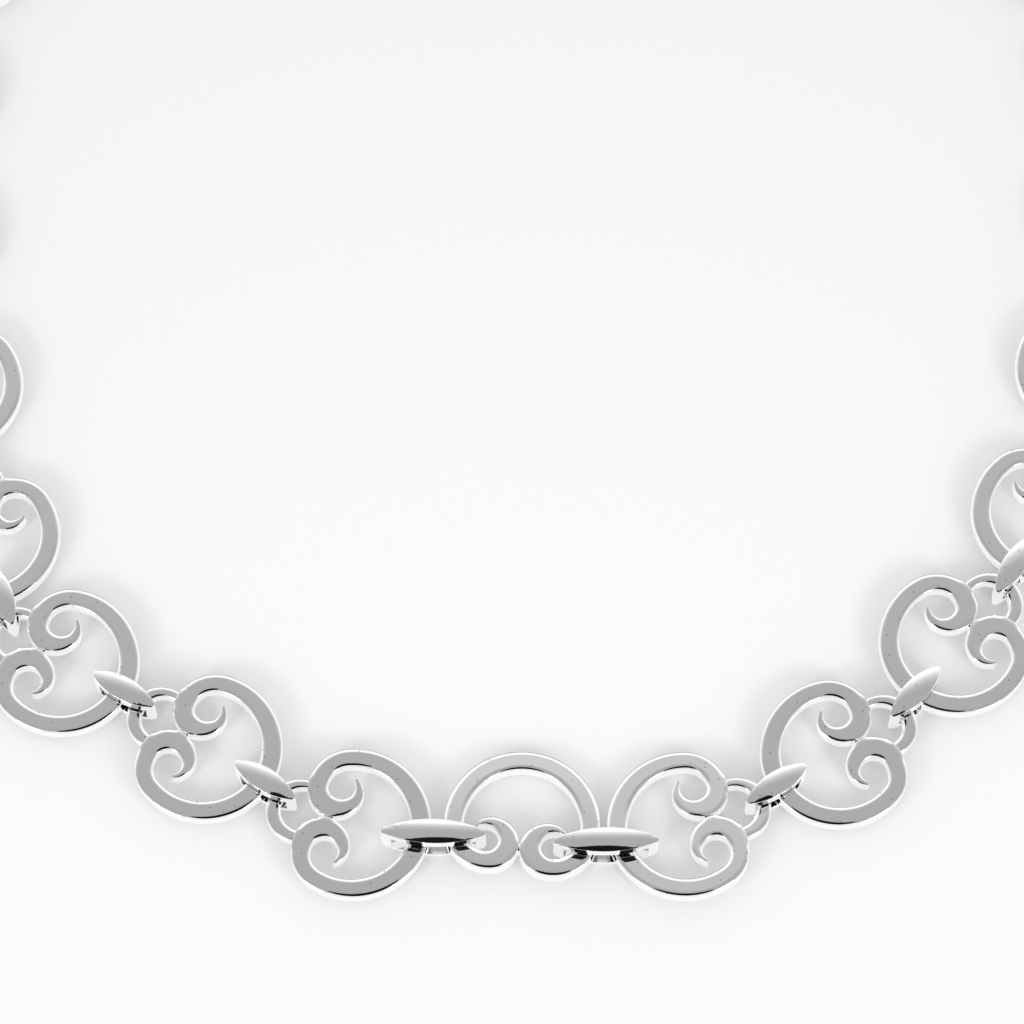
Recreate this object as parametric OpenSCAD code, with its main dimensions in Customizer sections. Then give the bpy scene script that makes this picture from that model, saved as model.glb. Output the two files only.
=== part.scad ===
// Collar necklace of openwork heart links, lying flat as a closed loop.
// Each heart is a C-shaped band whose ends curl into two volutes, with a ring cast on behind
// them. Marquise bars, each with a slot through it, hold the ring of one heart and the back
// band of the next. Millimetres, +Z up, origin under the middle of the loop, on the ground.

/* [Heart band] */
// Radius of the band's round back, outer edge
back_r = 9.36; // [9.3:0.02:9.4]
// Radius of the band's round back, inner edge
inner_r = 7.06; // [7:0.02:7.1]
// Shift of the inner edge towards the volutes
inner_u = 0.15; // [0.1:0.01:0.2]
// Thickness of the casting
heart_t = 2; // [1.6:0.1:2]
// Centre of a lobe's outer edge: along the heart's axis and across it
lobe_at = [1.24, 3.89]; // [3.8:0.01:3.95]
// Centre of a lobe's inner edge: along the heart's axis and across it
throat_at = [1.52, 4.12]; // [4.1:0.01:4.15]

/* [Volutes] */
// Centre of a volute's outer edge: along the heart's axis and across it
volute_at = [3.05, 3.49]; // [3.47:0.01:3.5]
// Centre of a volute's eye: along the heart's axis and across it
eye_at = [2.52, 4.27]; // [4.25:0.01:4.3]
// Direction in which a volute's curl begins to close in, seen from the volute's centre
curl_bend = 189; // [187:1:191]
// Radius of the curl from there to its tip
curl_r = 2.47; // [2.45:0.01:2.5]
// Radius that rounds the curl's tip
curl_tip = 0.18; // [0.16:0.01:0.2]
// Length and width of the weld where the volutes touch
weld = [1.2, 0.7]; // [0.5:0.1:1.2]
// How far the weld's top lies below the heart's face
weld_drop = 0.5; // [0.3:0.1:0.8]

/* [Cast ring] */
// Distance of the ring's centre ahead of the back's centre
ring_u = 6.75; // [6.7:0.01:6.8]
// Outer radius of the ring
ring_or = 3.98; // [3.9:0.02:4]
// Radius of the ring's opening
ring_ir = 2.65; // [2.6:0.01:2.7]
// Shift of the opening in the ring: back to the volutes, and to the inside of the loop
ring_shift = [0.35, 0.25]; // [0.2:0.01:0.4]
// How far the ring's top lies below the heart's face
ring_drop = 0.3; // [0:0.1:0.5]

/* [Marquise bars] */
// Length of a short bar
short_len = 8.7; // [8.6:0.1:8.8]
// Width of a short bar at its middle
short_w = 2.9; // [2.8:0.05:3]
// Length of a long bar beside the centre heart
long_len = 12.6; // [12.5:0.1:12.7]
// Width of a long bar at its middle
long_w = 3.05; // [2.9:0.05:3.1]
// Radius that rounds a bar's tips
bar_tip = 0.4; // [0.3:0.05:0.5]
// Thickness of the strap under the links
strap_t = 0.7; // [0.6:0.1:0.8]
// Height of the slot that the links pass through
slot_h = 2.6; // [2.6:0.1:2.8]
// Height of the slot in a long bar, where the centre heart leans
long_slot_h = 3; // [3:0.1:3.2]
// Height of the top over the slot at its crest, side wall and dome together
dome_h = 1.75; // [1.6:0.05:1.9]
// How far the crest falls from the middle to the tips
crest_fall = 0.5; // [0.4:0.05:0.7]
// Radius of the dome's round across the bar
dome_r = 5.5; // [4.5:0.1:6.5]
// Length of a short bar's leg inside the ring
ring_leg = 0.9; // [0.85:0.05:0.95]
// Length of a short bar's leg inside the next heart
band_leg = 1.25; // [1.1:0.05:1.3]
// Length of the legs of a long bar
long_leg = 1.2; // [1.1:0.05:1.3]

/* [Lie of the chain] */
// Distance from a ring's centre to the centre of the next heart
reach = 14.05; // [14.05:0.01:14.1]
// Distance from a ring's centre to the middle of its bar
bar_reach = 5.2; // [5.18:0.01:5.25]
// Place of the centre heart
centre_at = [0.31, -71.92]; // [-72:0.01:-71.5]
// Direction of the centre heart's axis, from +X
centre_axis = -97; // [-98:1:-96]
// Lean of the centre heart, with its volutes raised
centre_lean = 5.8; // [5:0.1:5.8]
// Height of the line that the centre heart leans about
hinge_z = 2.25; // [2.25:0.05:2.35]
// Place in the centre heart of a long bar's tip: along the axis and across it
hook_at = [2.42, 4.07]; // [4.05:0.01:4.1]
// Distance from a long bar's inner tip to the centre of the first heart
long_reach = 16.1; // [16.05:0.01:16.15]

/* [Clasp] */
// Width of the clasp's two plates
clasp_w = 4.4; // [4:0.1:4.6]
// How far the plates run past the posts
clasp_end = 1.3; // [1.1:0.1:1.5]
// Thickness of the upper plate
clasp_t = 1; // [0.8:0.1:1.2]
// Radius of the posts that stand in the end rings
post_r = 0.6; // [0.5:0.05:0.7]
// Distance of a post from the centre of its ring
post_in = 1.5; // [1.4:0.05:1.6]

/* [Hidden] */
$fn = 180;
HEARTS = 11;
// One row a heart, from the front to the clasp, in degrees from +X on the right side and
// from -X on the left side. Columns: LIE is where the heart's own ring points, PULL is where
// the next heart lies from that ring, BAR is where the bar between them points. SWAY is how far
// that bar has slid sideways, in mm. ROLL is how far the heart rolls about its own axis, its
// side inside the loop lowered. Row 0 is the long bar beside the centre heart.
LIE = 0;
PULL = 1;
BAR = 2;
SWAY = 3;
ROLL = 4;
RIGHT = [
    [0, 9.9, 1, 0, 0],
    [18, 30, 33.5, -0.15, 4.5],
    [31, 50, 46.5, -0.5, 0],
    [48.5, 58, 58, -0.15, 0],
    [55.5, 80, 77, 0, 0],
    [78, 78.5, 78.5, 0, 0],
    [84, 89, 89, 0, 0],
    [98.5, 112, 112, 0, 0],
    [137, 157, 155, 0, 0],
    [163, 163, 163, 0, 0],
    [163, 163.5, 163.5, 0, 0],
    [168.5, 180, 180, 0, 0]
];
LEFT = [
    [0, 6.9, 1.5, 0, 0],
    [14, 35, 32.5, 0.3, 0],
    [33.5, 31, 30, 0.35, 0],
    [28, 72, 68, -0.1, 0],
    [75, 75, 75, 0, 0],
    [72, 80, 80, 0, 0],
    [84, 90, 90, 0, 0],
    [98, 104, 104, 0, 0],
    [124, 138, 138, 0, 0],
    [152, 162, 162, 0, 0],
    [168, 174, 174, 0, 0],
    [178, 180, 180, 0, 0]
];

// Heights: the straps rest on the ground and the hearts lie in the middle of the short slots
mid_z = strap_t + slot_h / 2;
slot_top = strap_t + slot_h;

// The band's arcs run into one another without a corner, so each radius and each direction
// of meeting follows from the centres. A larger slice starts late degrees past that direction.
late = 3;
lobe_r = back_r - norm(lobe_at);
volute_r = lobe_r - norm(volute_at - lobe_at);
throat_r = inner_r - norm(throat_at - [inner_u, 0]);
eye_r = throat_r - norm(eye_at - throat_at);
curl_at = volute_at + (volute_r - curl_r) * dir(curl_bend);
tip_at = touching(curl_at, curl_r - curl_tip, eye_at, eye_r + curl_tip);
back_meets_lobe = heading([0, 0], lobe_at);
lobe_meets_volute = heading(lobe_at, volute_at);
inner_meets_throat = heading([inner_u, 0], throat_at);
throat_meets_eye = heading(throat_at, eye_at);
curl_start = heading(volute_at, throat_at + throat_r * dir(throat_meets_eye)) - late;

function dir(a) = [cos(a), sin(a)];
function heading(from, to) = atan2(to[1] - from[1], to[0] - from[0]);

// Where a circle round one centre crosses a circle round another, on the left of the line
// from the first centre to the second
function touching(one, one_r, two, two_r) =
    let (
        apart = norm(two - one),
        ahead = (two - one) / apart,
        along = (one_r * one_r - two_r * two_r + apart * apart) / (2 * apart)
    )
    one + along * ahead + sqrt(one_r * one_r - along * along) * [-ahead[1], ahead[0]];

// Place of heart i on one side, side being 1 on the right and -1 on the left
function flip(p, side) = [side * p[0], p[1]];
function hook(side) = centre_at + hook_at[0] * dir(centre_axis)
    + side * hook_at[1] * dir(centre_axis + 90);
function heart_place(rows, side, i) = i == 1
    ? hook(side) + flip(long_reach * dir(rows[0][PULL]), side)
    : ring_place(rows, side, i - 1) + flip(reach * dir(rows[i - 1][PULL]), side);
function ring_place(rows, side, i) =
    heart_place(rows, side, i) + flip(ring_u * dir(rows[i][LIE]), side);
function bar_place(rows, side, i) = i == 0
    ? hook(side) + flip(long_len / 2 * dir(rows[0][BAR]), side)
    : ring_place(rows, side, i)
        + flip(bar_reach * dir(rows[i][PULL]) + rows[i][SWAY] * dir(rows[i][PULL] + 90), side);

// Slice of a disc between two directions
module slice(at, r, a0, a1) {
    steps = 4;
    intersection() {
        translate(at) circle(r = r);
        polygon(concat([at], [for (i = [0 : steps]) at + 2 * r * dir(a0 + (a1 - a0) * i / steps)]));
    }
}

// Upper half of the C-shaped band, from its back to where the volute takes over. A smaller
// arc touches a larger one from inside, so it runs on past the place where they meet by lap,
// and the larger one starts late degrees after it.
module half_band() {
    past_axis = 190;
    lap = 25;
    difference() {
        union() {
            slice([0, 0], back_r, back_meets_lobe + late, past_axis);
            slice(lobe_at, lobe_r, lobe_meets_volute + late, back_meets_lobe + lap);
        }
        slice([inner_u, 0], inner_r, inner_meets_throat + late, past_axis + 5);
        slice(throat_at, throat_r, throat_meets_eye + late, inner_meets_throat + lap);
        translate(eye_at) circle(r = eye_r);
    }
}

// Volute: a disc with an off-centre eye, open towards the band. Its curl closes in on the eye
// and ends in a round tip that touches both edges.
module volute() {
    lap = 25;
    past_tip = 1.2;
    difference() {
        union() {
            slice(volute_at, volute_r, curl_bend + late, curl_start + 360);
            slice(curl_at, curl_r, heading(curl_at, tip_at) - lap, curl_bend + lap);
        }
        translate(eye_at) circle(r = eye_r);
        slice(tip_at, past_tip, heading(eye_at, tip_at) - 180, heading(curl_at, tip_at));
    }
    translate(tip_at) circle(r = curl_tip);
}

module half_heart() {
    half_band();
    volute();
}

module heart_outline() {
    half_heart();
    mirror([0, 1]) half_heart();
}

module heart() {
    linear_extrude(height = heart_t) heart_outline();
    translate([volute_at[0] - weld[0] / 2, -weld[1] / 2, 0])
        cube([weld[0], weld[1], heart_t - weld_drop]);
}

// Heart with its ring, side being 1 on the right of the loop and -1 on the left
module heart_with_ring(side) {
    heart();
    difference() {
        translate([ring_u, 0, 0]) cylinder(h = heart_t - ring_drop, r = ring_or);
        translate([ring_u - ring_shift[0], side * ring_shift[1], -1])
            cylinder(h = heart_t + 2, r = ring_ir);
        for (s = [1, -1]) translate([eye_at[0], s * eye_at[1], -1]) cylinder(h = heart_t + 2, r = eye_r);
    }
}

// Marquise outline: two arcs that meet in round tips
module marquise(len, w) {
    tip_x = len / 2 - bar_tip;
    arc_r = (tip_x * tip_x + w * w / 4 - bar_tip * bar_tip) / (w - 2 * bar_tip);
    meet_x = tip_x * arc_r / (arc_r - bar_tip);
    intersection() {
        translate([0, arc_r - w / 2]) circle(r = arc_r);
        translate([0, w / 2 - arc_r]) circle(r = arc_r);
        square([2 * meet_x, w], center = true);
    }
    for (s = [1, -1]) translate([s * tip_x, 0]) circle(r = bar_tip);
}

// Barrel whose top is the dome of a bar: round across the bar, gently arched along it
module barrel(len, crest_z) {
    arch_r = (len * len / 4 + crest_fall * crest_fall) / (2 * crest_fall);
    ring_r = arch_r - dome_r;
    translate([0, 0, crest_z - arch_r]) rotate([90, 0, 0]) rotate_extrude() {
        translate([ring_r, 0]) intersection() {
            circle(r = dome_r);
            translate([0, -dome_r]) square([dome_r, 2 * dome_r]);
        }
        translate([0, -dome_r]) square([ring_r, 2 * dome_r]);
    }
}

// Closed bar in side view: strap, two legs and domed top around the slot
module bar(len, w, slot, leg_in, leg_out) {
    crest_z = strap_t + slot + dome_h;
    difference() {
        intersection() {
            linear_extrude(height = crest_z + 1) marquise(len, w);
            barrel(len, crest_z);
        }
        translate([leg_in - len / 2, -w, strap_t]) cube([len - leg_in - leg_out, 2 * w, slot]);
    }
}

module centre_heart() {
    color("silver") translate([centre_at[0], centre_at[1], hinge_z])
        rotate([0, 0, centre_axis]) translate([hook_at[0], 0, 0]) rotate([0, -centre_lean, 0])
        translate([-hook_at[0], 0, -heart_t / 2]) heart();
}

module side_heart(rows, side, i) {
    place = heart_place(rows, side, i);
    turn = side == 1 ? rows[i][LIE] : 180 - rows[i][LIE];
    color("silver") translate([place[0], place[1], mid_z]) rotate([0, 0, turn])
        rotate([-side * rows[i][ROLL], 0, 0]) translate([0, 0, -heart_t / 2]) heart_with_ring(side);
}

module side_bar(rows, side, i) {
    place = bar_place(rows, side, i);
    turn = side == 1 ? rows[i][BAR] : 180 - rows[i][BAR];
    color("gainsboro") translate([place[0], place[1], 0]) rotate([0, 0, turn]) {
        if (i == 0) bar(long_len, long_w, long_slot_h, long_leg, long_leg);
        else bar(short_len, short_w, slot_h, ring_leg, band_leg);
    }
}

// Plain clasp: two rounded plates joined by a post in each end ring
module clasp() {
    left_end = ring_place(LEFT, -1, HEARTS);
    right_end = ring_place(RIGHT, 1, HEARTS);
    middle = (left_end + right_end) / 2;
    post_x = norm(right_end - left_end) / 2 - post_in;
    end_x = post_x + clasp_end - clasp_w / 2;
    color("silver") translate([middle[0], middle[1], 0]) rotate([0, 0, heading(left_end, right_end)]) {
        for (z = [[0, strap_t], [slot_top, clasp_t]]) translate([0, 0, z[0]]) linear_extrude(height = z[1]) {
            square([2 * end_x, clasp_w], center = true);
            for (s = [1, -1]) translate([s * end_x, 0]) circle(d = clasp_w);
        }
        for (s = [1, -1]) translate([s * post_x, 0, 0]) cylinder(h = slot_top + clasp_t / 2, r = post_r);
    }
}

centre_heart();
for (i = [1 : HEARTS]) {
    side_heart(LEFT, -1, i);
    side_heart(RIGHT, 1, i);
}
for (i = [0 : HEARTS - 1]) {
    side_bar(LEFT, -1, i);
    side_bar(RIGHT, 1, i);
}
clasp();
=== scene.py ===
"""Finish and photo stage of the heart link collar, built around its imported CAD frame."""

from math import asin, cos, radians, sin

import bmesh
import bpy
from bpy.props import FloatProperty, FloatVectorProperty, PointerProperty
from bpy.types import Operator, Panel, PropertyGroup
from mathutils import Matrix, Vector
from mathutils.bvhtree import BVHTree


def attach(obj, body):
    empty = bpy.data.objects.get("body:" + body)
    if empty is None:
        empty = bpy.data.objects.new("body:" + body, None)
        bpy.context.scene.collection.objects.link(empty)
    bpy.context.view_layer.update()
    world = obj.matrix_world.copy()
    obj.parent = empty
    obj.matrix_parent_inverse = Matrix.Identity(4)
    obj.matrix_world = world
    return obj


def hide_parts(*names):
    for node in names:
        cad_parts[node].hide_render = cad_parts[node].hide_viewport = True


bl_info = {
    "name": "Heart Link Collar",
    "version": (1, 0, 0),
    "blender": (4, 5, 0),
    "location": "View3D > Sidebar > Collar",
    "description": "Rounds and polishes the links of a silver collar and sets up its stage",
    "category": "Object",
}

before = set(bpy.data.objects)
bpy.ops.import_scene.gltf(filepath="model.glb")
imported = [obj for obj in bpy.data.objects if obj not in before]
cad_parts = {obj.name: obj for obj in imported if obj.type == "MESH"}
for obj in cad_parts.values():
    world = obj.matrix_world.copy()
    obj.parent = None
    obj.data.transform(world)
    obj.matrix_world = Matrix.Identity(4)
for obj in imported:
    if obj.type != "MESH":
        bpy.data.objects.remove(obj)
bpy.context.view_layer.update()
SIDE_HEARTS = sorted(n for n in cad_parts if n.startswith("heart_"))
LONG_BARS = ["bar_left_0", "bar_right_0"]
SHORT_BARS = sorted(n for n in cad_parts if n.startswith("bar_") and n not in LONG_BARS)

# Points of the frame's loose triangles that are one point of a heart
WELD_DISTANCE = 0.00004
# Faces of a heart that turn less than this are one flat face
FLAT_ANGLE = radians(0.4)
# The same two for the bars and the clasp
DOME_WELD = 0.0001
DOME_FLAT = radians(1.0)
# Rims of the bars and the clasp that turn more than this are rounded, in so many steps
RIM_ANGLE = radians(32)
RIM_STEPS = 4
# Corners that turn more than this keep a sharp line
SHARP_ANGLE = radians(35)
# How strongly the larger faces lead the normals, where 50 is evenly
FACE_WEIGHT = 100

# Depth below a heart's rim at which the metal behind it is measured
SKIN = 0.00002
# Directions into the metal along which that is done, from straight in
FEELERS = (radians(-60), 0, radians(60))
# Widest round, as a share of the metal behind the rim
RIM_SHARE = 0.4
# How fast a round widens along its rim, and how often that is worked out
RIM_GROWTH = 0.25
GROWTH_STEPS = 16
# Least cosine between the normal of a flat face and the heart's axis
LEVEL = 0.9995
# Limits of the way that a corner goes inwards, for a width of one
LEAST_TURN = 0.2
LONGEST_WAY = 1.5
# Least share of a rim's side that the inset keeps, and what narrows the round where it would not
LEAST_SIDE = 0.1
NARROWER = 0.85
# Most that the round takes of a wall's height
FALL_SHARE = 0.45
# Points closer than this are one after the insets
THINNEST = 0.0000004
# Tight corner between a heart's round and its wall, in shares of the round's width and depth
CORNER_WIDTH = 0.1
CORNER_DEPTH = 0.22
# Steps of that corner and of the round
CORNER_STEPS = 4
ROUND_STEPS = 6

# Pinholes: scale of their pattern, their size in it and the share of its cells that have none
PINHOLE_SCALE = 620.0
PINHOLE_SIZE = 0.055
PINHOLE_FREE = 0.80
PINHOLE_COLOUR = (0.42, 0.42, 0.43, 1)
# Least upward part of the normal where they show: down a wall they would be drawn out into stripes
PINHOLE_UPWARD = 0.8
# Haze: its scale, what it leaves of the silver's tone, and where its noise starts and ends
HAZE_SCALE = 260.0
HAZE_TONE = 0.975
HAZE_RANGE = (0.3, 0.7)
# Wipe marks: their scale, and the least and most that they make of the roughness
WIPE_SCALE = 1800.0
WIPE_RANGE = (0.6, 1.4)
# Waves in the polish: their scale, height and strength
WAVE_SCALE = 420.0
WAVE_HEIGHT = 0.00001
WAVE_STRENGTH = 0.25
# Where the centre heart's face starts to sag, and how fast it turns, in radians a metre
SAG_START = -0.066
CENTRE_SAG = 6.0

# Paper: half its side, roughness and gloss, and its fibres' scale and what they leave of the tone
PAPER_REACH = 4.0
PAPER_ROUGHNESS = 0.9
PAPER_GLOSS = 0.1
FIBRE_SCALE = 900.0
FIBRE_TONE = 0.985
# Painted glow that the paper gives off like a lamp, seen only in the silver's mirrors: its
# brightness, and its share there
PAPER_GLOW = 1.1
GLOW_SHARE = 0.6
# Share of the sideways way that counts, so that the ceiling reaches farther to the sides
CEILING_REACH = 0.36
# Bands of the tent: angle from straight up, and share of the way from the ceiling's gray to white
TENT_BANDS = (
    (88, -0.35),
    (72, 0.05),
    (60, 1.0),
    (38, 1.0),
    (33, 0.56),
    (29, 0.32),
    (26.5, 0.25),
    (24, 0.14),
    (22, 0.09),
    (19, 0.035),
    (15, 0.0),
)
# Soft boxes, and where each points
BOX_SIZE = 0.16
BOX_SPREAD = radians(50)
LEFT_BOX = (-0.26, -0.30, 0.24)
LEFT_AIM = (-0.045, -0.05, 0)
RIGHT_BOX = (0.26, -0.30, 0.24)
RIGHT_AIM = (0.045, -0.05, 0)
# Point that the camera looks at, its sensor in millimetres and the nearest that it sees
CAMERA_AIM = (-0.000904, -0.031857, 0.0029)
SENSOR_WIDTH = 36
NEAREST = 0.01
# The camera's dark front: its radius, its sides, its place before the camera and its colour
DARK_RADIUS = 0.112
DARK_SIDES = 48
DARK_PLACE = (0.008, 0, -0.146)
DARK_COLOUR = (0.01, 0.01, 0.01, 1)
WHITE = (1, 1, 1, 1)


# Sizes and colours a user may change


class CollarHeartSettings(PropertyGroup):
    rim_width: FloatProperty(
        name="Rim width",
        description="How far polishing has rounded a heart's face along its rims",
        default=0.00058,
        min=0.00005,
        max=0.0008,
        precision=5,
        unit="LENGTH",
    )
    rim_radius: FloatProperty(
        name="Rim radius",
        description="Radius of that round, which ends in a tight corner",
        default=0.0011,
        min=0.0008,
        max=0.01,
        precision=5,
        unit="LENGTH",
    )
    silver: FloatVectorProperty(
        name="Silver",
        description="Colour of the polished hearts",
        subtype="COLOR",
        default=(0.955, 0.955, 0.957),
        min=0,
        max=1,
    )
    polish: FloatProperty(
        name="Polish",
        description="Roughness of the polished hearts",
        default=0.05,
        min=0.01,
        max=0.5,
        subtype="FACTOR",
    )


class CollarBarSettings(PropertyGroup):
    rim_width: FloatProperty(
        name="Rim width",
        description="How far polishing has rounded a bar's faces along its rims",
        default=0.0001,
        min=0.00005,
        max=0.0008,
        precision=5,
        unit="LENGTH",
    )
    silver: FloatVectorProperty(
        name="Silver",
        description="Colour of the polished bars",
        subtype="COLOR",
        default=(0.962, 0.962, 0.962),
        min=0,
        max=1,
    )
    polish: FloatProperty(
        name="Polish",
        description="Roughness of the polished bars",
        default=0.05,
        min=0.01,
        max=0.5,
        subtype="FACTOR",
    )


class CollarStageSettings(PropertyGroup):
    paper: FloatVectorProperty(
        name="Paper",
        description="Colour of the paper that the collar lies on",
        subtype="COLOR",
        default=(0.90, 0.90, 0.902),
        min=0,
        max=1,
    )
    tent: FloatProperty(
        name="Tent",
        description="Brightness of the white tent round the stage",
        default=1.08,
        min=0,
        max=5,
    )
    ceiling: FloatProperty(
        name="Ceiling",
        description="Brightness of the gray ceiling that the flat faces mirror",
        default=0.426,
        min=0,
        max=5,
    )
    fill: FloatProperty(
        name="Fill",
        description="Brightness of the even light that falls on the paper from all round",
        default=0.90,
        min=0,
        max=5,
    )
    left_box: FloatProperty(
        name="Left soft box",
        description="Power of the soft box in front of the collar's left side",
        default=0.029,
        min=0,
        max=100,
        unit="POWER",
    )
    right_box: FloatProperty(
        name="Right soft box",
        description="Power of the soft box in front of the collar's right side",
        default=0.029,
        min=0,
        max=100,
        unit="POWER",
    )
    camera_height: FloatProperty(
        name="Camera elevation",
        description="Angle of the camera above the paper",
        default=radians(68.821),
        min=0,
        max=radians(90),
        subtype="ANGLE",
    )
    camera_distance: FloatProperty(
        name="Camera distance",
        description="Distance from the camera to its aim",
        default=0.54602,
        min=0.1,
        max=5,
        unit="LENGTH",
    )
    lens: FloatProperty(
        name="Lens",
        description="Focal length of the camera, in millimetres",
        default=155.465,
        min=10,
        max=400,
    )


# Nodes and meshes


def add_node(tree, kind, inputs=(), **settings):
    """New node of that kind, with its settings, and its inputs set or linked."""
    node = tree.nodes.new(kind)
    for key, value in settings.items():
        setattr(node, key, value)
    for key, value in dict(inputs).items():
        if isinstance(value, bpy.types.NodeSocket):
            tree.links.new(value, node.inputs[key])
        else:
            node.inputs[key].default_value = value
    return node


def maths(tree, operation, first, second):
    """Result of a new Math node."""
    return add_node(tree, "ShaderNodeMath", {0: first, 1: second}, operation=operation).outputs[0]


def put_in_scene(work, name, material):
    """Object of that material, made from a bmesh that is finished."""
    mesh = bpy.data.meshes.new(name)
    work.to_mesh(mesh)
    work.free()
    mesh.materials.append(material)
    made = bpy.data.objects.new(name, mesh)
    bpy.context.scene.collection.objects.link(made)
    return made


# Silver


def polished_silver(name, silver, polish, sag=0.0):
    """Mirror bright silver with faint waves, fine wipe marks and a few dark pinholes."""
    material = bpy.data.materials.new(name)
    material.use_nodes = True
    tree = material.node_tree
    tree.nodes.clear()
    spot = add_node(tree, "ShaderNodeTexCoord")
    place = spot.outputs["Object"]

    # Colour
    pits = add_node(
        tree,
        "ShaderNodeTexVoronoi",
        {"Vector": place, "Scale": PINHOLE_SCALE, "Randomness": 1.0},
        voronoi_dimensions="2D",
        feature="F1",
    )
    chosen = add_node(tree, "ShaderNodeSeparateColor", {"Color": pits.outputs["Color"]})
    facing = add_node(tree, "ShaderNodeSeparateXYZ", {"Vector": spot.outputs["Normal"]})
    near = maths(tree, "LESS_THAN", pits.outputs["Distance"], PINHOLE_SIZE)
    few = maths(tree, "GREATER_THAN", chosen.outputs["Red"], PINHOLE_FREE)
    upward = maths(tree, "GREATER_THAN", facing.outputs["Z"], PINHOLE_UPWARD)
    pinholes = maths(tree, "MULTIPLY", maths(tree, "MULTIPLY", near, few), upward)
    haze = add_node(
        tree,
        "ShaderNodeTexNoise",
        {"Vector": place, "Scale": HAZE_SCALE, "Detail": 3.0, "Roughness": 0.55},
    )
    tone = add_node(tree, "ShaderNodeValToRGB", {"Fac": haze.outputs["Fac"]})
    bright = Vector(silver)
    for stop, at, shade in zip(tone.color_ramp.elements, HAZE_RANGE, (bright * HAZE_TONE, bright)):
        stop.position = at
        stop.color = (*shade, 1)
    colour = add_node(
        tree,
        "ShaderNodeMix",
        {"Factor": pinholes, "A": tone.outputs["Color"], "B": PINHOLE_COLOUR},
        data_type="RGBA",
    )

    # Roughness
    wipes = add_node(
        tree,
        "ShaderNodeTexNoise",
        {"Vector": place, "Scale": WIPE_SCALE, "Detail": 4.0, "Roughness": 0.6, "Distortion": 0.4},
    )
    least, most = WIPE_RANGE
    gloss = add_node(
        tree,
        "ShaderNodeMapRange",
        {"Value": wipes.outputs["Fac"], "To Min": polish * least, "To Max": polish * most},
    )

    # Face that sags towards its volutes, and waves in the polish
    along = add_node(tree, "ShaderNodeSeparateXYZ", {"Vector": place}).outputs["Y"]
    below = maths(tree, "MINIMUM", maths(tree, "SUBTRACT", along, SAG_START), 0.0)
    fall = maths(tree, "MULTIPLY", maths(tree, "MULTIPLY", below, below), -sag / 2)
    sagging = add_node(tree, "ShaderNodeBump", {"Strength": 1.0, "Distance": 1.0, "Height": fall})
    waves = add_node(
        tree, "ShaderNodeTexNoise", {"Vector": place, "Scale": WAVE_SCALE, "Detail": 1.0}
    )
    relief = add_node(
        tree,
        "ShaderNodeBump",
        {
            "Strength": WAVE_STRENGTH,
            "Distance": WAVE_HEIGHT,
            "Height": waves.outputs["Fac"],
            "Normal": sagging.outputs["Normal"],
        },
    )

    shine = add_node(
        tree,
        "ShaderNodeBsdfPrincipled",
        {
            "Base Color": colour.outputs[2],
            "Metallic": 1.0,
            "Roughness": gloss.outputs["Result"],
            "Normal": relief.outputs["Normal"],
        },
    )
    add_node(tree, "ShaderNodeOutputMaterial", {"Surface": shine.outputs["BSDF"]})
    return material


# Links


def metal_behind(corner, rims, metal):
    """Least depth of the metal behind a corner of the rims."""
    inward = Vector()
    lid = Vector()
    for rim in rims:
        faces = sorted(rim.link_faces, key=lambda face: abs(face.normal.z))
        inward -= faces[0].normal
        lid += faces[1].normal
    inward.normalize()
    lid.normalize()
    start = corner.co + (inward - lid) * SKIN
    ways = [Matrix.Rotation(turn, 3, lid) @ inward for turn in FEELERS]
    return min(metal.ray_cast(start, way)[3] or SKIN for way in ways)


def rim_widths(meeting, work, rim_width):
    """Width of the round at each corner of the rims: full, or less where the metal is thin."""
    metal = BVHTree.FromBMesh(work)
    widths = {
        corner: min(rim_width, RIM_SHARE * metal_behind(corner, near, metal))
        for corner, near in meeting.items()
    }
    rims = {rim for near in meeting.values() for rim in near if widths.keys() >= set(rim.verts)}
    for _ in range(GROWTH_STEPS):
        for rim in rims:
            growth = RIM_GROWTH * rim.calc_length()
            for corner in rim.verts:
                widths[corner] = min(widths[corner], widths[rim.other_vert(corner)] + growth)
    return widths


def rim_profile(settings):
    """Points of a rounded rim from its wall to its face: shares of the width and of the depth."""
    bend = settings.rim_radius / settings.rim_width
    steepest = asin((1 - CORNER_WIDTH) / bend)
    points = []
    for step in range(CORNER_STEPS):
        tilt = radians(90) + (steepest - radians(90)) * step / CORNER_STEPS
        wide = CORNER_WIDTH * (1 - sin(tilt)) / (1 - sin(steepest))
        deep = CORNER_DEPTH * (cos(steepest) - cos(tilt)) / cos(steepest)
        points.append((wide, deep + bend * (1 - cos(steepest))))
    for step in range(ROUND_STEPS + 1):
        tilt = steepest * (1 - step / ROUND_STEPS)
        points.append((1 - bend * sin(tilt), bend * (1 - cos(tilt))))
    return points


def inset_way(rims, walls):
    """Way from a corner to where the insets of its rims meet, for a width of one."""
    first, last = (-walls[rim].normal for rim in rims)
    solid = [rim.is_convex for rim in rims]
    if not any(solid):
        return Vector()
    if all(solid):
        way = (first + last) / max(1 + first.dot(last), LEAST_TURN)
    else:
        rim, wall = (first, last) if solid[0] else (last, first)
        way = rim - wall * rim.dot(wall)
        way = way / max(way.length_squared, LEAST_TURN)
    return way * min(1, LONGEST_WAY / max(way.length, LEAST_TURN))


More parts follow.
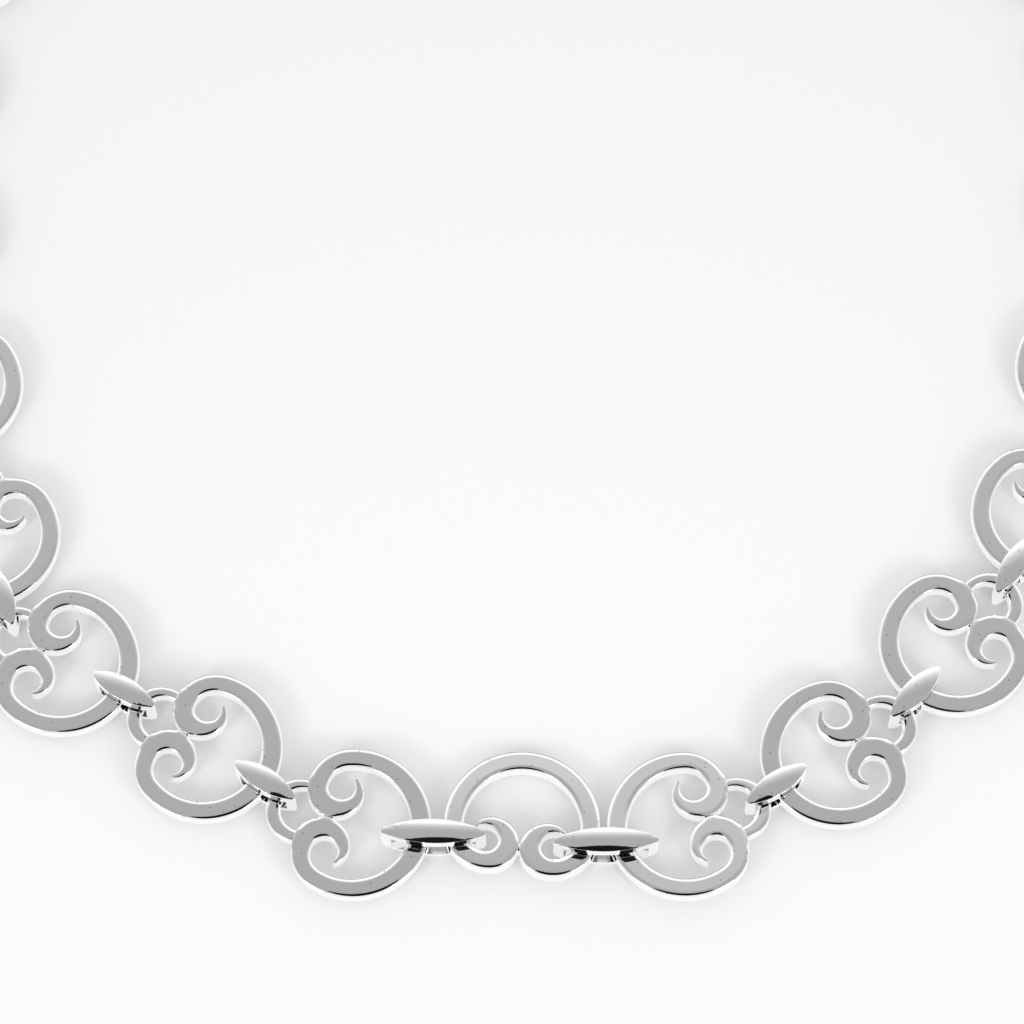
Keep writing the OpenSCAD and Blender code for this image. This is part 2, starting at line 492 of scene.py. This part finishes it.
def find_rims(work, axis):
    """Flat faces of a casting, the wall at each rim, and each corner's way down and its rims."""
    lids = {face for face in work.faces if abs(face.normal.dot(axis)) > LEVEL}
    walls = {}
    sinks = {}
    meeting = {}
    for rim in work.edges:
        if len(lids.intersection(rim.link_faces)) == 1:
            lid, wall = sorted(rim.link_faces, key=lambda face: face not in lids)
            walls[rim] = wall
            for corner in rim.verts:
                sinks[corner] = -axis if lid.normal.dot(axis) > 0 else axis
                meeting.setdefault(corner, []).append(rim)
    meeting = {corner: near for corner, near in meeting.items() if len(near) == 2}
    return lids, walls, sinks, meeting


def keep_apart(widths, ways, walls):
    """Narrow the round where the insets of two corners would pass each other."""
    for _ in range(GROWTH_STEPS):
        for rim in walls:
            first, last = rim.verts
            if first in widths and last in widths:
                side = last.co - first.co
                inner = side + ways[last] * widths[last] - ways[first] * widths[first]
                if inner.dot(side) < LEAST_SIDE * side.length_squared:
                    widths[first] *= NARROWER
                    widths[last] *= NARROWER


def round_lids(work, settings):
    """Round the rims of a casting's flat faces, with insets that step inwards from the walls."""
    # Added first, because a new layer makes the points that were already looked up invalid
    number = work.verts.layers.int.new("corner")
    axis = max(work.faces, key=lambda face: face.calc_area()).normal.copy()
    lids, walls, sinks, meeting = find_rims(work, axis)
    ways = {corner: inset_way(near, walls) for corner, near in meeting.items()}
    for way in ways.values():
        way -= axis * way.dot(axis)
    solid = {corner: near for corner, near in meeting.items() if ways[corner].length > 0}
    widths = rim_widths(solid, work, settings.rim_width)
    keep_apart(widths, ways, walls)

    # The number of a corner, which its copies in the insets keep, leads to its place, way and sink
    corners = [None]
    for corner, width in widths.items():
        legs = [edge.other_vert(corner) for edge in corner.link_edges if edge not in walls]
        falls = [(foot.co - corner.co).dot(sinks[corner]) for foot in legs]
        depth = min([width] + [FALL_SHARE * fall for fall in falls if fall > SKIN])
        corner[number] = len(corners)
        corners.append((corner.co.copy(), ways[corner] * width, sinks[corner] * depth))
    lids = list(lids)
    for step, (wide, deep) in enumerate(rim_profile(settings)):
        if step:
            bmesh.ops.inset_region(work, faces=lids, thickness=0.0, use_boundary=True)
        for corner in {corner for lid in lids for corner in lid.verts}:
            if corner[number]:
                place, way, sink = corners[corner[number]]
                corner.co = place + way * wide + sink * deep
    bmesh.ops.remove_doubles(work, verts=work.verts, dist=THINNEST)


def polished_piece(node, name, settings, material, domed=False):
    """Copy of a CAD node with rounded rims, that stands for the node."""
    work = bmesh.new()
    work.from_mesh(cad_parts[node].data)
    weld, flat = (DOME_WELD, DOME_FLAT) if domed else (WELD_DISTANCE, FLAT_ANGLE)
    bmesh.ops.remove_doubles(work, verts=work.verts, dist=weld)
    bmesh.ops.dissolve_limit(work, angle_limit=flat, verts=work.verts, edges=work.edges)
    if not domed:
        round_lids(work, settings)
    for face in work.faces:
        face.smooth = True
    for edge in work.edges:
        turn = edge.calc_face_angle(0)
        edge.smooth = turn < SHARP_ANGLE or (domed and edge.is_convex)
    piece = put_in_scene(work, name, material)
    if domed:
        rims = piece.modifiers.new("Rounded rims", "BEVEL")
        rims.width = settings.rim_width
        rims.segments = RIM_STEPS
        rims.limit_method = "ANGLE"
        rims.angle_limit = RIM_ANGLE
        rims.use_clamp_overlap = True
    even = piece.modifiers.new("Even normals", "WEIGHTED_NORMAL")
    even.mode = "FACE_AREA"
    even.weight = FACE_WEIGHT
    even.keep_sharp = True

    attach(piece, "root")
    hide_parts(node)


class COLLAR_OT_centre_heart(Operator):
    """Round and polish the plain heart in the middle of the collar"""

    bl_idname = "collar.centre_heart"
    bl_label = "Centre Heart"

    def execute(self, context):
        made = context.scene.collar_hearts
        silver = polished_silver("centre_heart_silver", made.silver, made.polish, CENTRE_SAG)
        polished_piece("centre_heart", "centre_heart_casting", made, silver)
        return {"FINISHED"}


class COLLAR_OT_side_hearts(Operator):
    """Round and polish the hearts with a cast ring, down both sides of the collar"""

    bl_idname = "collar.side_hearts"
    bl_label = "Side Hearts"

    def execute(self, context):
        made = context.scene.collar_hearts
        silver = polished_silver("side_heart_silver", made.silver, made.polish)
        for node in SIDE_HEARTS:
            polished_piece(node, node + "_casting", made, silver)
        return {"FINISHED"}


class COLLAR_OT_bars(Operator):
    """Round and polish the slotted marquise bars between the hearts"""

    bl_idname = "collar.bars"
    bl_label = "Marquise Bars"

    def execute(self, context):
        made = context.scene.collar_bars
        silver = polished_silver("bar_silver", made.silver, made.polish)
        for node in LONG_BARS + SHORT_BARS:
            polished_piece(node, node + "_casting", made, silver, domed=True)
        return {"FINISHED"}


class COLLAR_OT_clasp(Operator):
    """Round and polish the plain two-plate clasp at the back"""

    bl_idname = "collar.clasp"
    bl_label = "Clasp"

    def execute(self, context):
        made = context.scene.collar_bars
        silver = polished_silver("clasp_silver", made.silver, made.polish)
        polished_piece("clasp", "clasp_plates", made, silver, domed=True)
        return {"FINISHED"}


# Stage


def lay_paper(stage):
    """Large sheet of pale paper under the collar, with a painted glow that only the silver's
    mirrors see.
    """
    paper = bpy.data.materials.new("paper")
    paper.use_nodes = True
    tree = paper.node_tree
    tree.nodes.clear()
    place = add_node(tree, "ShaderNodeTexCoord").outputs["Object"]
    fibres = add_node(
        tree, "ShaderNodeTexNoise", {"Vector": place, "Scale": FIBRE_SCALE, "Detail": 5.0}
    )
    tint = add_node(tree, "ShaderNodeValToRGB", {"Fac": fibres.outputs["Fac"]})
    pale = Vector(stage.paper)
    tint.color_ramp.elements[0].color = (*(pale * FIBRE_TONE), 1)
    tint.color_ramp.elements[1].color = (*pale, 1)
    sheet = add_node(
        tree,
        "ShaderNodeBsdfPrincipled",
        {
            "Base Color": tint.outputs["Color"],
            "Roughness": PAPER_ROUGHNESS,
            "Specular IOR Level": PAPER_GLOSS,
        },
    )
    # Painted reflection: the paper glows as if it were a lamp, but only for rays that the silver
    # mirrors
    painted_glow = add_node(tree, "ShaderNodeEmission", {"Color": WHITE, "Strength": PAPER_GLOW})
    path = add_node(tree, "ShaderNodeLightPath")
    painted_glow_share = maths(tree, "MULTIPLY", path.outputs["Is Glossy Ray"], GLOW_SHARE)
    lit = add_node(
        tree,
        "ShaderNodeMixShader",
        {0: painted_glow_share, 1: sheet.outputs["BSDF"], 2: painted_glow.outputs["Emission"]},
    )
    add_node(tree, "ShaderNodeOutputMaterial", {"Surface": lit.outputs["Shader"]})

    work = bmesh.new()
    bmesh.ops.create_grid(work, x_segments=1, y_segments=1, size=PAPER_REACH)
    put_in_scene(work, "paper_floor", paper)


def hang_tent(stage):
    """White all round, with a gray ceiling for the flat silver to mirror, and an even fill."""
    world = bpy.data.worlds.new("tent")
    bpy.context.scene.world = world
    world.use_nodes = True
    tree = world.node_tree
    tree.nodes.clear()
    way = add_node(tree, "ShaderNodeTexCoord").outputs["Generated"]
    wide = add_node(
        tree, "ShaderNodeVectorMath", {0: way, 1: (CEILING_REACH, 1, 1)}, operation="MULTIPLY"
    )
    wide = add_node(tree, "ShaderNodeVectorMath", {0: wide.outputs[0]}, operation="NORMALIZE")
    height = add_node(tree, "ShaderNodeSeparateXYZ", {"Vector": wide.outputs[0]}).outputs["Z"]
    shade = add_node(tree, "ShaderNodeValToRGB", {"Fac": height})
    ramp = shade.color_ramp
    while len(ramp.elements) < len(TENT_BANDS):
        ramp.elements.new(0.5)
    for stop, (angle, share) in zip(ramp.elements, TENT_BANDS):
        tone = stage.ceiling + (stage.tent - stage.ceiling) * share
        stop.position = cos(radians(angle))
        stop.color = (tone, tone, tone, 1)
    mirrored = add_node(
        tree, "ShaderNodeBackground", {"Color": shade.outputs["Color"], "Strength": 1.0}
    )
    fill = add_node(tree, "ShaderNodeBackground", {"Color": WHITE, "Strength": stage.fill})
    on_paper = add_node(tree, "ShaderNodeLightPath").outputs["Is Diffuse Ray"]
    either = add_node(
        tree,
        "ShaderNodeMixShader",
        {0: on_paper, 1: mirrored.outputs["Background"], 2: fill.outputs["Background"]},
    )
    add_node(tree, "ShaderNodeOutputWorld", {"Surface": either.outputs["Shader"]})


def place_soft_box(name, power, place, aim):
    """Soft box that lights mainly its own side of the paper."""
    light = bpy.data.lights.new(name, "AREA")
    light.shape = "DISK"
    light.size = BOX_SIZE
    light.spread = BOX_SPREAD
    light.energy = power
    lamp = bpy.data.objects.new(name, light)
    lamp.location = place
    lamp.rotation_euler = (Vector(aim) - Vector(place)).to_track_quat("-Z", "Y").to_euler()
    bpy.context.scene.collection.objects.link(lamp)


def place_camera(stage):
    """Camera at the photograph's angle, and its dark front that the silver mirrors."""
    view = bpy.data.cameras.new("camera")
    view.lens = stage.lens
    view.sensor_width = SENSOR_WIDTH
    view.clip_start = NEAREST
    camera = bpy.data.objects.new("camera", view)
    aim = Vector(CAMERA_AIM)
    back = Vector((0, -cos(stage.camera_height), sin(stage.camera_height)))
    camera.location = aim + back * stage.camera_distance
    camera.rotation_euler = (-back).to_track_quat("-Z", "Y").to_euler()
    bpy.context.scene.collection.objects.link(camera)
    bpy.context.scene.camera = camera

    black = bpy.data.materials.new("camera_black")
    black.use_nodes = True
    shade = black.node_tree.nodes["Principled BSDF"]
    shade.inputs["Base Color"].default_value = DARK_COLOUR
    shade.inputs["Specular IOR Level"].default_value = 0.0
    work = bmesh.new()
    bmesh.ops.create_circle(work, cap_ends=True, segments=DARK_SIDES, radius=DARK_RADIUS)
    front = put_in_scene(work, "camera_front", black)
    front.parent = camera
    front.location = DARK_PLACE
    front.visible_camera = False
    front.visible_diffuse = False
    front.visible_shadow = False


class COLLAR_OT_stage(Operator):
    """Lay the paper, hang the tent and place the light and the camera"""

    bl_idname = "collar.stage"
    bl_label = "Stage"

    def execute(self, context):
        stage = context.scene.collar_stage
        lay_paper(stage)
        hang_tent(stage)
        place_soft_box("left_box", stage.left_box, LEFT_BOX, LEFT_AIM)
        place_soft_box("right_box", stage.right_box, RIGHT_BOX, RIGHT_AIM)
        place_camera(stage)
        context.scene.view_settings.view_transform = "Standard"
        return {"FINISHED"}


# Panel

PANEL_BOXES = {"collar_hearts": "Hearts", "collar_bars": "Bars", "collar_stage": "Stage"}
PIECES = (COLLAR_OT_centre_heart, COLLAR_OT_side_hearts, COLLAR_OT_bars, COLLAR_OT_clasp)


class COLLAR_PT_panel(Panel):
    """Collar pieces and stage"""

    bl_idname = "COLLAR_PT_panel"
    bl_label = "Heart Link Collar"
    bl_space_type = "VIEW_3D"
    bl_region_type = "UI"
    bl_category = "Collar"

    def draw(self, context):
        for name, title in PANEL_BOXES.items():
            box = self.layout.box()
            box.label(text=title)
            group = getattr(context.scene, name)
            for key in group.bl_rna.properties.keys():
                if key not in ("rna_type", "name"):
                    box.prop(group, key)
        for piece in (*PIECES, COLLAR_OT_stage):
            self.layout.operator(piece.bl_idname)


SETTINGS = {
    "collar_hearts": CollarHeartSettings,
    "collar_bars": CollarBarSettings,
    "collar_stage": CollarStageSettings,
}
CLASSES = (*SETTINGS.values(), *PIECES, COLLAR_OT_stage, COLLAR_PT_panel)


def register():
    for each in CLASSES:
        bpy.utils.register_class(each)
    for name, group in SETTINGS.items():
        setattr(bpy.types.Scene, name, PointerProperty(type=group))


def unregister():
    for name in SETTINGS:
        delattr(bpy.types.Scene, name)
    for each in reversed(CLASSES):
        bpy.utils.unregister_class(each)


def main():
    register()
    bpy.ops.collar.centre_heart()
    bpy.ops.collar.side_hearts()
    bpy.ops.collar.bars()
    bpy.ops.collar.clasp()
    bpy.ops.collar.stage()


if __name__ == "__main__":
    main()
